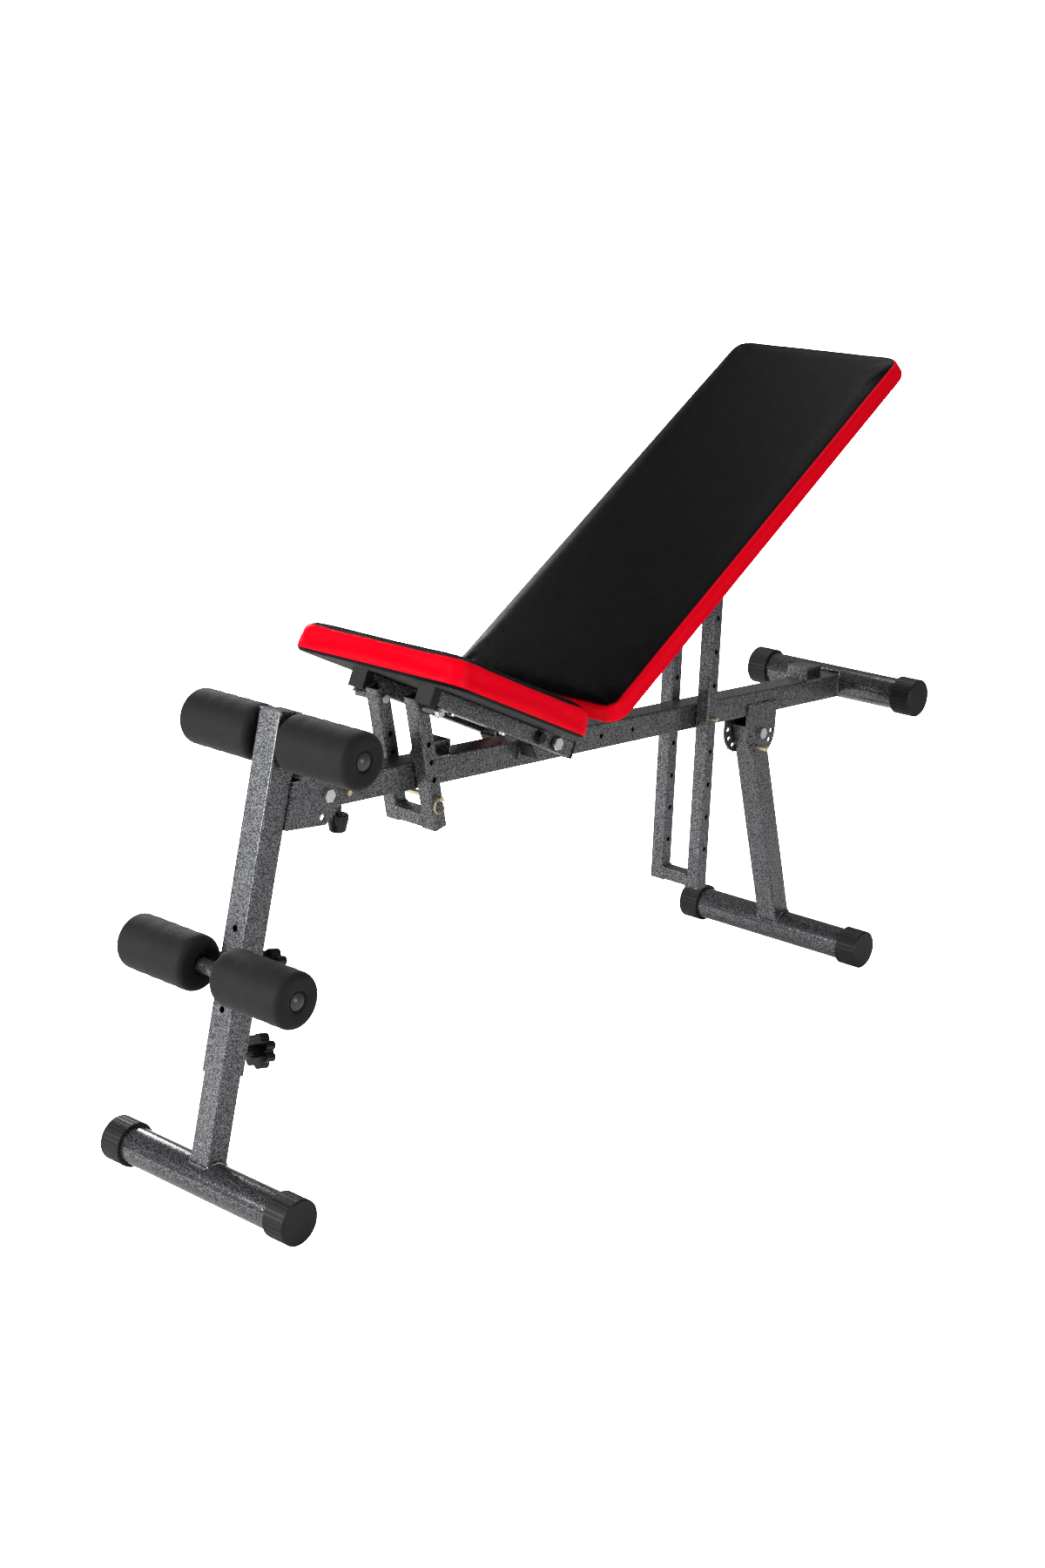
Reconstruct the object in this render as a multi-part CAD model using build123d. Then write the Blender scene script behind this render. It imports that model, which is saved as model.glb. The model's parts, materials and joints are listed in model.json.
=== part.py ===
"""Incline and decline sit-up bench on a square-tube frame, in millimetres.

X runs from the foot end to the head end, Z is up, and the bench is symmetric
about the plane Y = 0, with its left side at -Y. Everything is laid out from
the point on the floor under the front foot tube, and written out with the
origin on the floor at the middle of the bench.
"""
import os
from math import atan2, cos, degrees, hypot, radians, sin

from build123d import *

# Tubes
corner = 3.0             # outer corner radius of every square tube
wall = 2.0               # wall of every tube
beam_side = 45.0         # main beam and front post
inner_side = 40.0        # telescoping front leg
leg_side = 44.0          # rear leg
light_side = 28.0        # rails
ladder_side = 27.0       # ladder uprights
rung_side = 25.0         # cross bar of each ladder
foot_r = 30.0            # foot and head tubes
axle_r = 12.5            # roller axles
slip = 0.08              # radial clearance of a turning or sliding fit
gap = 0.5                # side clearance between flat moving faces

# Feet and their ribbed caps
cap_r = 36.0
cap_flat = 0.5           # how much of each foot cap is flattened where it stands
cap_length = 42.0
cap_wall = 4.0
cap_ribs = 30
rib_r = 1.7
front_foot_half = 203.0
rear_foot_half = 207.0
head_tube_half = 187.0

# Main beam: it passes over the front foot at beam_height and slopes down
beam_height = 603.6
beam_slope = -3.88
beam_front = 203.5       # distances along the beam
head_tube_at = 1643.5
head_tube_lift = 2.9
front_pivot_at = 231.2
front_lock_at = 267.6
clamp_at = 283.0
seat_rest_at = 482.0
axle_at = 685.7
axle_lift = 28.0
spare_holes_at = (885.0, 972.0)
back_lock_at = 1160.5
leg_pivot_at = 1360.0
leg_pivot_drop = 58.0
back_stop_at = 1527.0
seat_rest_length = 42.0  # rectangular tube offcuts that the pads rest on
back_stop_length = 48.0
seat_rest_height = 25.5
back_stop_height = 25.0

# Front post, measured up its own axis from the front foot tube
post_lean = 13.42
post_bottom = 163.0
post_top = 710.0
post_cap_thick = 2.0
inner_top = 250.0
carriage_at = 323.5
carriage_pitch = 61.5
carriage_hole_r = 5.2
lower_axle_out = 49.2
upper_axle_at = 669.7
upper_axle_back = 5.0
height_knob_at = 192.0
clamp_stem_r = 5.0
clamp_knob_r = 16.5
clamp_knob_tip_r = 13.5
clamp_knob_height = 29.0
knob_stem_r = 5.0
star_r = 21.0
star_lobes = 7
star_lobe_r = 7.5
star_thick = 20.0
star_start = 60.0
carriage_knob_start = 55.0

# Foam rollers
roller_r = 43.5
roller_start = 30.0
roller_end = 176.0
plug_r = 13.5
plug_dome = 6.0
recess_r = 15.5
recess_depth = 5.0

# Front bracket
plate_thick = 4.0
bracket_low = 536.0      # up the post
bracket_high = 608.0
bracket_nose = ((545.4, -103.2), (586.5, -137.6), (618.0, -132.2), (615.0, -54.7))

# Rear leg
leg_length = 434.5
leg_lean = 15.96
leg_head = 20.0
leg_plate_r = 46.0
lock_circle_r = 34.4
lock_angles = (176.0, 207.0, 238.0, -33.0, -3.5)
leg_pin_r = 27.0         # circle of the pin that locks the leg
leg_pin_turn = -36.0     # from the leg's own direction
leg_fold = 48.0

# Fasteners
pivot_r = 6.0            # M12 pivots
axle_bolt_r = 5.0        # M10 axle
pivot_head = 7.0
axle_head = 5.5
axle_washer_thick = 2.5
pivot_flats = 19.0
washer_r = 13.0
ladder_bolt_r = 4.0      # M8 ladder bolts
ladder_head = 3.5
ladder_flats = 13.0
ladder_nut = 7.0
ladder_sleeve_r = 6.5
screw_r = 3.0
pin_r = 4.5
pin_reach = 11.0         # how far a lock pin stands out of its outer face
ring_r = 12.0
ring_wire = 1.25

# Seat
seat_slope = -24.9
seat_rail_y = 71.0
seat_rail_front = -319.0
seat_rail_back = 48.0
pad_wide = 355.0
board_thick = 10.0
seat_thick = 42.0        # board and foam together
back_thick = 37.0
pad_corner = 30.0
seat_front_corner = 35.0
board_inset = 11.0
seat_pad_front = -376.0
seat_pad_back = -31.5
seat_ladder_at = -297.0
seat_ladder_lean = 12.04
seat_ladder_low = 206.5
seat_hole_first = 61.0
seat_hole_pitch = 30.6
seat_hole_count = 4
seat_pin_hole = 4
seat_bolt_at = -45.0

# Backrest
back_angle = 31.8
back_rail_y = 41.0
back_rail_mid = -5.0     # the rails' centreline, from the axle
back_rail_start = -22.0
back_rail_end = 760.0
back_pad_start = 59.0
back_pad_end = 997.0
back_ladder_at = 543.9
back_ladder_drop = 33.7
back_ladder_low = 636.5
back_hole_pitch = 60.9
back_hole_count = 8
back_pin_hole = 4
ladder_y = 41.0
seat_ladder_head = 20.0


# Building blocks -----------------------------------------------------------

def place(x, z, angle=0.0):
    """Frame at (x, 0, z), with its X axis climbing at the angle from +X."""
    return Location((x, 0, z), (0, -angle, 0))


def across(x, z, radius, start, end):
    """Cylinder along Y."""
    return Pos(x, (start + end) / 2, z) * Rot(90, 0, 0) * Cylinder(radius, end - start)


def hexagon(x, z, flats, start, end):
    """Hexagonal prism along Y."""
    sketch = RegularPolygon(flats / 2, 6, major_radius=False)
    return Pos(x, start, z) * Rot(-90, 0, 0) * extrude(sketch, end - start)


def box_tube(start, end, wide, high, y=0.0):
    """Hollow rectangular tube along X."""
    outer = RectangleRounded(wide, high, corner)
    inner = RectangleRounded(wide - 2 * wall, high - 2 * wall, corner - wall)
    return Pos(start, y, 0) * extrude(Plane.YZ * (outer - inner), end - start)


def foot_tube(half):
    """Round tube along Y that ends inside its two caps."""
    end = half - cap_wall - gap
    return across(0, 0, foot_r, -end, end) - across(0, 0, foot_r - wall, -end, end)


def foot_cap(half, side, flat=cap_flat):
    """Ribbed plastic cap that slips over the end of a foot tube."""
    end = side * half
    mouth = side * (half - cap_length)
    body = across(0, 0, cap_r, min(end, mouth), max(end, mouth))
    rims = body.edges().filter_by(GeomType.CIRCLE).sort_by(Axis.Y)
    body = chamfer(rims[-1 if side > 0 else 0], 2.0)
    inside = side * (half - cap_wall)
    body -= across(0, 0, foot_r, min(inside, mouth), max(inside, mouth))
    groove_end = side * (half - 3.0)
    for i in range(cap_ribs):
        turn = radians(90 + 360 * i / cap_ribs)
        if sin(turn) < -0.96 and flat > 0:
            continue
        out = cap_r + 0.5 * rib_r
        body -= across(out * cos(turn), out * sin(turn), rib_r,
                       min(groove_end, mouth), max(groove_end, mouth))
    if flat > 0:
        body -= Pos(0, 0, -cap_r) * Box(3 * cap_r, 3 * half, 2 * flat)
    return body


def hollow_rest(length, height):
    """Offcut of rectangular tube, open at its left and right ends."""
    outer = Box(length, beam_side, height)
    return outer - Box(length - 2 * wall, beam_side, height - 2 * wall)


def lock_pin(x, z, start, end, tail):
    """Pin along Y with a split ring hanging in a cross hole at its tail end."""
    pin = across(x, z, pin_r, start, end)
    side = 1 if tail > (start + end) / 2 else -1
    hole_y = tail - side * 5.0
    pin -= Pos(x, hole_y, z) * Rot(0, 90, 0) * Cylinder(ring_wire + 0.5, 4 * pin_r)
    return pin, Pos(x, hole_y, z)


def hanging_ring(spot):
    """Ring at a world point, hanging straight down across the pin."""
    return Pos(*spot) * Pos(0, 0, -ring_r) * Rot(90, 0, 0) * Torus(ring_r, ring_wire)


def both(make):
    """The left and right copies of a piece."""
    return [make(-1), make(1)]


def span(side, near, far):
    """Y range of a piece between two distances from the middle, on one side."""
    return (near, far) if side > 0 else (-far, -near)


# Layout --------------------------------------------------------------------

foot_height = cap_r - cap_flat
front_foot = place(0, foot_height)
beam = place(0, beam_height, beam_slope)
post = place(0, foot_height, 90 - post_lean)
head_tube = beam * Pos(head_tube_at, 0, head_tube_lift)
axle = beam * Pos(axle_at, 0, axle_lift)
seat = place(axle.position.X, axle.position.Z, seat_slope)
back = place(axle.position.X, axle.position.Z, back_angle)
front_pivot = beam * Pos(front_pivot_at, 0, 0)
leg_pivot = beam * Pos(leg_pivot_at, 0, -leg_pivot_drop)
leg = place(leg_pivot.position.X, leg_pivot.position.Z, leg_lean - 90)
rear_foot_spot = (leg * Pos(leg_length, 0, 0)).position
rear_foot = place(rear_foot_spot.X, foot_height)

seat_hinge_z = -light_side / 2 - ladder_sleeve_r
seat_hinge = seat * Pos(seat_ladder_at, 0, seat_hinge_z)
seat_ladder = place(seat_hinge.position.X, seat_hinge.position.Z, 90 + seat_ladder_lean)
back_hinge = back * Pos(back_ladder_at, 0, -back_ladder_drop)
back_lock = beam * Pos(back_lock_at, 0, 0)
back_ladder_rise = back_hinge.position - back_lock.position
back_ladder_angle = degrees(atan2(back_ladder_rise.Z, back_ladder_rise.X))
back_ladder = place(back_hinge.position.X, back_hinge.position.Z, back_ladder_angle)
back_pin_down = hypot(back_ladder_rise.X, back_ladder_rise.Z)
seat_pin_down = seat_hole_first + (seat_pin_hole - 1) * seat_hole_pitch

middle = head_tube.position.X / 2
plate_y = beam_side / 2 + gap
plate_out = beam_side / 2 + plate_thick
bracket_out = plate_y + plate_thick
ladder_in = ladder_y - ladder_side / 2
ladder_out = ladder_y + ladder_side / 2
rail_out = seat_rail_y + light_side / 2
hole_r = pin_r + slip


# Fixed frame ---------------------------------------------------------------

def main_beam():
    tube = box_tube(beam_front, head_tube_at, beam_side, beam_side)
    tube -= across(head_tube_at, head_tube_lift, foot_r, -beam_side, beam_side)
    tube -= across(front_pivot_at, 0, pivot_r + slip, -beam_side, beam_side)
    for at in (front_lock_at, back_lock_at) + spare_holes_at:
        tube -= across(at, 0, hole_r, -beam_side, beam_side)
    tube -= Pos(clamp_at, 0, -beam_side / 2) * Cylinder(clamp_stem_r + slip, beam_side / 2)
    return beam * tube


def seat_rest():
    lift = (beam_side + seat_rest_height) / 2
    return beam * Pos(seat_rest_at, 0, lift) * hollow_rest(seat_rest_length, seat_rest_height)


def back_stop():
    lift = (beam_side + back_stop_height) / 2
    return beam * Pos(back_stop_at, 0, lift) * hollow_rest(back_stop_length, back_stop_height)


def axle_plate(side):
    """Lug on the beam's side that carries the axle above the beam."""
    start, end = span(side, beam_side / 2, plate_out)
    lug = across(0, 0, 18.0, start, end)
    lug += Pos(0, (start + end) / 2, -axle_lift / 2 - 4) * Box(44.0, plate_thick, axle_lift + 8)
    return axle * (lug - across(0, 0, axle_bolt_r, start, end))


def leg_plate(side):
    """Plate on the beam's side that carries the rear leg and its lock holes."""
    start, end = span(side, beam_side / 2, plate_out)
    height = leg_pivot_drop - 2.0
    shape = across(0, 0, leg_plate_r, start, end)
    shape += Pos(0, (start + end) / 2, height / 2) * Box(2 * leg_plate_r, plate_thick, height)
    shape -= across(0, 0, pivot_r, start, end)
    for angle in lock_angles:
        turn = radians(angle - beam_slope)
        spot = (lock_circle_r * cos(turn), lock_circle_r * sin(turn))
        shape -= across(*spot, hole_r, start, end)
    turn = radians(leg_lean - 90 + leg_pin_turn - beam_slope)
    shape -= across(leg_pin_r * cos(turn), leg_pin_r * sin(turn), hole_r, start, end)
    return beam * Pos(leg_pivot_at, 0, -leg_pivot_drop) * shape


def pivot_bolt(out):
    """Hexagon bolt along Y, with its head on the left."""
    shank = across(0, 0, pivot_r, -out, out + pivot_head + 3)
    return shank + hexagon(0, 0, pivot_flats, -out - pivot_head, -out)


def pivot_nut(out):
    """Nut on the right end of a pivot bolt."""
    return hexagon(0, 0, pivot_flats, out, out + pivot_head) - across(
        0, 0, pivot_r, out, out + pivot_head)


def axle_bolt():
    """The long bolt that the seat and the backrest turn on."""
    shank = across(0, 0, axle_bolt_r, -axle_out, axle_out + axle_head + 3)
    return shank + hexagon(0, 0, pivot_flats, -axle_out - axle_head, -axle_out)


def axle_nut():
    end = axle_out + axle_head
    return hexagon(0, 0, pivot_flats, axle_out, end) - across(0, 0, axle_bolt_r, axle_out, end)


def axle_washer(start, end):
    return across(0, 0, washer_r, start, end) - across(0, 0, axle_bolt_r, start, end)


# Front post ----------------------------------------------------------------

clamp_stem = 20.0
boss_r = 9.0
boss_height = 8.0


def up_post(at, radius, low, high):
    """Cylinder through the post from rear to front, at a height up the post."""
    return Pos(at, 0, (low + high) / 2) * Cylinder(radius, high - low)


def post_tube():
    tube = box_tube(post_bottom, post_top, beam_side, beam_side)
    half = beam_side / 2
    for step in (-1, 0, 1):
        tube -= up_post(carriage_at + step * carriage_pitch, carriage_hole_r, -half, half)
    tube -= across(upper_axle_at, -upper_axle_back, axle_r + slip, -half, half)
    tube -= up_post(height_knob_at, knob_stem_r + slip, -half, 0)
    return post * tube


def post_cap():
    return post * Pos(post_top + post_cap_thick / 2, 0, 0) * Box(
        post_cap_thick, beam_side, beam_side)


def front_bracket():
    """Channel on the back of the post whose two cheeks straddle the beam."""
    rear = -beam_side / 2
    pivot = post.inverse() * front_pivot
    lock = post.inverse() * (beam * Pos(front_lock_at, 0, 0))
    px, pz = pivot.position.X, pivot.position.Z
    outline = Polyline((bracket_low, rear), *bracket_nose, (bracket_high, rear), close=True)
    cheek = make_face(Plane.XZ * outline)
    shape = Part()
    for side in (-1, 1):
        start, _ = span(side, plate_y, plate_y + plate_thick)
        slab = extrude(cheek, plate_thick)
        low = slab.bounding_box().min.Y
        slab = Pos(0, start - low, 0) * slab
        slab = fillet(slab.edges().filter_by(Axis.Y).sort_by(Axis.Z)[:3], 5.0)
        shape += slab
    height = bracket_high - bracket_low
    web = Box(height, 2 * (plate_y + plate_thick), plate_thick)
    shape += Pos(bracket_low + height / 2, 0, rear - plate_thick / 2) * web
    reach = bracket_out + 1
    shape -= across(px, pz, pivot_r + slip, -reach, reach)
    shape -= across(lock.position.X, lock.position.Z, pin_r, -reach, 0)
    shape -= across(lock.position.X, lock.position.Z, hole_r, 0, reach)
    shape -= across(px - 34.0, pz + 2, hole_r, -reach, reach)
    return post * shape


def roller_axle(at, out):
    end = roller_end - recess_depth
    tube = across(at, out, axle_r, -end, end)
    return post * (tube - across(at, out, axle_r - wall, -end, end))


def roller_plug(at, out, side):
    """Domed plug in the end of a roller axle."""
    end = roller_end - recess_depth
    head = Cylinder(plug_r, 2.0, align=(Align.CENTER, Align.CENTER, Align.MIN))
    dome_r = (plug_r ** 2 + plug_dome ** 2) / (2 * plug_dome)
    dome = Pos(0, 0, 2.0 + plug_dome - dome_r) * Sphere(dome_r)
    dome &= Pos(0, 0, 2.0) * Cylinder(
        plug_r, plug_dome, align=(Align.CENTER, Align.CENTER, Align.MIN))
    stem = Cylinder(axle_r - wall - slip, 14.0, align=(Align.CENTER, Align.CENTER, Align.MAX))
    plug = head + dome + stem
    return post * Pos(at, side * end, out) * Rot(-90 * side, 0, 0) * plug


def roller(at, out, side):
    start, end = span(side, roller_start, roller_end)
    foam = across(at, out, roller_r, start, end)
    foam = fillet(foam.edges().filter_by(GeomType.CIRCLE), 7.0)
    foam -= across(at, out, axle_r + slip, start, end)
    low, high = span(side, roller_end - recess_depth - gap, roller_end)
    foam -= across(at, out, recess_r, low, high)
    return post * foam


def carriage():
    """Plate and stub that stand the lower axle off the front of the post."""
    front = beam_side / 2
    plate = Pos(carriage_at, 0, front + 1.5) * Box(44, 40, 3)
    stub = up_post(carriage_at, 11.0, front + 3, lower_axle_out)
    stub -= across(carriage_at, lower_axle_out, axle_r, -20, 20)
    return post * (plate + stub)


def star(at, start):
    """Seven-lobed knob on the back of the post."""
    outline = Circle(star_r)
    for spot in PolarLocations(star_r - 1, star_lobes):
        outline += spot * Circle(star_lobe_r)
    outline = fillet(outline.vertices(), 3.0)
    head = extrude(outline, star_thick)
    head = chamfer(head.faces().sort_by(Axis.Z)[0].edges(), 1.5)
    return Pos(at, 0, -start - star_thick) * head


def carriage_bolt():
    end = beam_side / 2
    return post * up_post(carriage_at, knob_stem_r, -carriage_knob_start - 12, end)


def carriage_knob():
    knob = star(carriage_at, carriage_knob_start)
    knob += up_post(carriage_at, 10.0, -carriage_knob_start, -beam_side / 2 - gap)
    bore = up_post(carriage_at, knob_stem_r + slip, -carriage_knob_start - 12.5, 0)
    return post * (knob - bore)


def height_boss():
    half = beam_side / 2
    boss = up_post(height_knob_at, boss_r, -half - boss_height, -half)
    return post * (boss - up_post(height_knob_at, knob_stem_r + slip, -half - boss_height, -half))


def height_knob():
    """Star knob whose screw presses on the telescoping leg."""
    knob = star(height_knob_at, star_start)
    knob += up_post(height_knob_at, 10.0, -star_start, -beam_side / 2 - boss_height - gap)
    knob += up_post(height_knob_at, knob_stem_r, -star_start, -inner_side / 2 - 0.4)
    return post * knob


def clamp_knob():
    """Tapered fluted knob on a screw that enters the beam from below."""
    top = -beam_side / 2 - clamp_stem
    low = top - clamp_knob_height
    points = [(0, top), (clamp_knob_r - 2, top), (clamp_knob_r, top - 2),
              (clamp_knob_r, top - 8), (clamp_knob_tip_r, low + 3),
              (clamp_knob_tip_r - 3, low), (0, low)]
    body = revolve(make_face(Plane.XZ * Polyline(*points, close=True)), Axis.Z)
    for spot in PolarLocations(clamp_knob_r + 1.2, 10):
        body -= spot * Pos(0, 0, low + clamp_knob_height / 2) * Cylinder(2.6, clamp_knob_height + 2)
    stem_top = -beam_side / 2 + wall + 6
    stem = Pos(0, 0, (stem_top + top) / 2) * Cylinder(clamp_stem_r, stem_top - top)
    return beam * Pos(clamp_at, 0, 0) * (body + stem)


def inner_tube():
    tube = box_tube(0, inner_top, inner_side, inner_side)
    tube -= across(0, 0, foot_r, -beam_side, beam_side)
    return post * tube


# Rear leg ------------------------------------------------------------------

def rear_leg_tube():
    tube = box_tube(-leg_head, leg_length, leg_side, leg_side)
    tube -= across(leg_length, 0, foot_r, -leg_side, leg_side)
    tube -= across(0, 0, pivot_r + slip, -leg_side, leg_side)
    arc = CenterArc((0, 0), leg_pin_r, leg_pin_turn, leg_fold)
    slot = Plane.XZ * SlotArc(arc, 2 * (pin_r + gap))
    tube -= extrude(slot, leg_side, both=True)
    return leg * tube


# Seat and backrest ---------------------------------------------------------

def rail(start, end, side, mid_y, mid_z, screws):
    """Rail along X with the axle's hole and the holes of the board screws."""
    tube = Pos(0, 0, mid_z) * box_tube(start, end, light_side, light_side, side * mid_y)
    tube -= across(0, 0, axle_bolt_r + slip, -2 * rail_out, 2 * rail_out)
    for at in screws:
        tube -= Pos(at, side * mid_y, mid_z) * Cylinder(screw_r, 2 * light_side)
    return tube


def end_plug(at, side, mid_y, mid_z, facing, lip, hood):
    """Plastic cap on the end of a rail; its top is flush with the rail's."""
    length = 4.0 + hood
    cap = Pos(facing * (4.0 - length / 2), 0, -lip / 2) * Box(
        length, light_side + 2 * lip, light_side + lip)
    rail_end = extrude(Plane.YZ * RectangleRounded(light_side, light_side, corner), 30.0)
    cap -= Pos(-30.0 if facing > 0 else 0.0, 0, 0) * rail_end
    inside = light_side - 2 * wall
    insert = extrude(Plane.YZ * RectangleRounded(inside, inside, corner - wall), 12.0)
    cap += Pos(-12.0 if facing > 0 else 0.0, 0, 0) * insert
    return Pos(at, side * mid_y, mid_z) * cap


def board_screw(at, side, mid_y, rail_mid):
    """Screw up through a rail into the board."""
    low = rail_mid - light_side / 2
    shank = Pos(at, side * mid_y, low) * Cylinder(
        screw_r, light_side + board_thick - 2, align=(Align.CENTER, Align.CENTER, Align.MIN))
    head = Pos(at, side * mid_y, low) * Cylinder(
        2 * screw_r, 3.0, align=(Align.CENTER, Align.CENTER, Align.MAX))
    return shank + head


def board_screws(spots, mid_y, rail_mid):
    return [board_screw(at, side, mid_y, rail_mid) for at in spots for side in (-1, 1)]


def slab(start, end, wide, low, high, front_r, back_r):
    """Flat rounded block: a board or a pad."""
    outline = Rectangle(end - start, wide)
    outline = fillet(outline.vertices().sort_by(Axis.X)[:2], front_r)
    outline = fillet(outline.vertices().sort_by(Axis.X)[-2:], back_r)
    return Pos((start + end) / 2, 0, low) * extrude(outline, high - low)


def board(start, end, low, front_r):
    inset = board_inset
    return slab(start + inset, end - inset, pad_wide - 2 * inset, low, low + board_thick,
                front_r - inset, pad_corner - inset)


def pad(start, end, low, thick, front_r):
    """Cushion with its board let into the underside."""
    foam = slab(start, end, pad_wide, low, low + thick, front_r, pad_corner)
    foam = fillet(foam.edges().group_by(Axis.Z)[-1], 8.0)
    return foam - board(start, end, low, front_r)


def drilled_board(start, end, low, front_r, screws):
    panel = board(start, end, low, front_r)
    for screw in screws:
        panel -= screw
    return panel


def upright(low, holes, side, head, rounded):
    """Ladder upright: it hangs towards -X from its hinge at X = 0."""
    tube = box_tube(-low, head, ladder_side, ladder_side, side * ladder_y)
    start, end = span(side, ladder_in - 1, ladder_out + 1)
    if rounded:
        tube -= Pos(low / 2, 0, 0) * Box(low, 4 * ladder_out, 2 * ladder_side)
        top = Rot(90, 0, 0) * Cylinder(ladder_side / 2, ladder_side)
        top -= Rot(90, 0, 0) * Cylinder(ladder_side / 2 - wall, ladder_side - 2 * wall)
        top &= Pos(low / 2, 0, 0) * Box(low, 2 * ladder_side, 2 * ladder_side)
        tube += Pos(0, side * ladder_y, 0) * top
    tube -= across(0, 0, ladder_bolt_r + slip, start, end)
    for down in holes:
        tube -= across(-down, 0, hole_r, start, end)
    return tube


def rung(low):
    tube = Rot(0, 0, 90) * box_tube(-ladder_in, ladder_in, rung_side, rung_side)
    return Pos(-low + rung_side / 2, 0, 0) * tube


def ladder_sleeve(side):
    """Tube under a seat rail, round its ladder bolt."""
    start, end = span(side, ladder_out + gap, rail_out)
    return across(seat_ladder_at, seat_hinge_z, ladder_sleeve_r, start, end) - across(
        seat_ladder_at, seat_hinge_z, ladder_bolt_r, start, end)


def back_ear(side, near):
    """Lug on one side of a back rail, for the ladder bolt."""
    start, end = span(side, near, near + plate_thick)
    high = back_ladder_drop + back_rail_mid
    lug = across(0, 0, 12.0, start, end)
    lug += Pos(0, (start + end) / 2, high / 2) * Box(24.0, plate_thick, high)
    lug -= across(0, 0, ladder_bolt_r, start, end)
    return back * Pos(back_ladder_at, 0, -back_ladder_drop) * lug


def ladder_bolt(at, mid_z, side, near, far):
    """Bolt between two faces, head on the inside, and its nut."""
    shank = across(at, mid_z, ladder_bolt_r, *span(side, near - ladder_head, far + ladder_nut + 2))
    head = hexagon(at, mid_z, ladder_flats, *span(side, near - ladder_head, near))
    nut = hexagon(at, mid_z, ladder_flats, *span(side, far, far + ladder_nut))
    return [shank + head, nut - across(at, mid_z, ladder_bolt_r, *span(side, far, far + ladder_nut))]


def rail_bolt(side):
    """Hexagon head on the outer face of a seat rail."""
    start, end = span(side, rail_out + 2, rail_out + 2 + pivot_head)
    return seat * hexagon(seat_bolt_at, 0, pivot_flats - 3, start, end)


def rail_bolt_washer(side):
    start, end = span(side, rail_out, rail_out + 2)
    return seat * across(seat_bolt_at, 0, washer_r - 1, start, end)


seat_holes = [seat_hole_first + i * seat_hole_pitch for i in range(seat_hole_count)]
back_holes = [back_pin_down + (i - back_pin_hole + 1) * back_hole_pitch
              for i in range(back_hole_count)]
seat_screws = board_screws((-250.0, -120.0), seat_rail_y, 0)
back_screws = board_screws((160.0, 420.0, 700.0), back_rail_y, back_rail_mid)
seat_low = light_side / 2
back_low = back_rail_mid + light_side / 2
ear_in = back_rail_y - light_side / 2 - plate_thick
ear_out = back_rail_y + light_side / 2
washer_start = rail_out + gap
axle_out = washer_start + axle_washer_thick

# Lock pins. Where a pin passes through the piece that it locks, its middle is
# left out, so that the locked piece can move: a tailed half and a tip remain.


def split_pin(frame, x, z, inner, outer):
    """The ring half and the tip half of a lock pin, and where its ring hangs."""
    reach = outer + pin_reach
    tail, spot = lock_pin(x, z, inner, reach, reach)
    tip = across(x, z, pin_r, -reach, -inner)
    return frame * tail, frame * tip, (frame * spot).position


def whole_pin(frame, x, z, start, end, tail):
    shank, spot = lock_pin(x, z, start, end, tail)
    return frame * shank, (frame * spot).position


back_tail, back_tip, back_ring = split_pin(
    back_ladder, -back_pin_down, 0, plate_y, ladder_out)
front_tail, front_tip, front_ring = split_pin(beam, front_lock_at, 0, plate_y, bracket_out)
turn = radians(leg_pin_turn)
leg_shank, leg_ring = whole_pin(
    leg, leg_pin_r * cos(turn), leg_pin_r * sin(turn), -plate_out - 2 * pin_reach,
    plate_out + pin_reach, plate_out + pin_reach)
seat_start = -ladder_out - pin_reach
seat_shank, seat_ring = whole_pin(
    seat_ladder, -seat_pin_down, 0, seat_start, ladder_out + 4, seat_start)


def seat_plugs():
    return [seat * end_plug(at, side, seat_rail_y, 0, facing, lip, hood)
            for at, facing, lip, hood in ((seat_rail_front, -1, 1.9, 14.0),
                                          (seat_rail_back, 1, 1.2, 0.0)) for side in (-1, 1)]


def back_plugs():
    return [back * end_plug(at, side, back_rail_y, back_rail_mid, facing, 0.0, 0.0)
            for at, facing in ((back_rail_start, -1), (back_rail_end, 1))
            for side in (-1, 1)]


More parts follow.
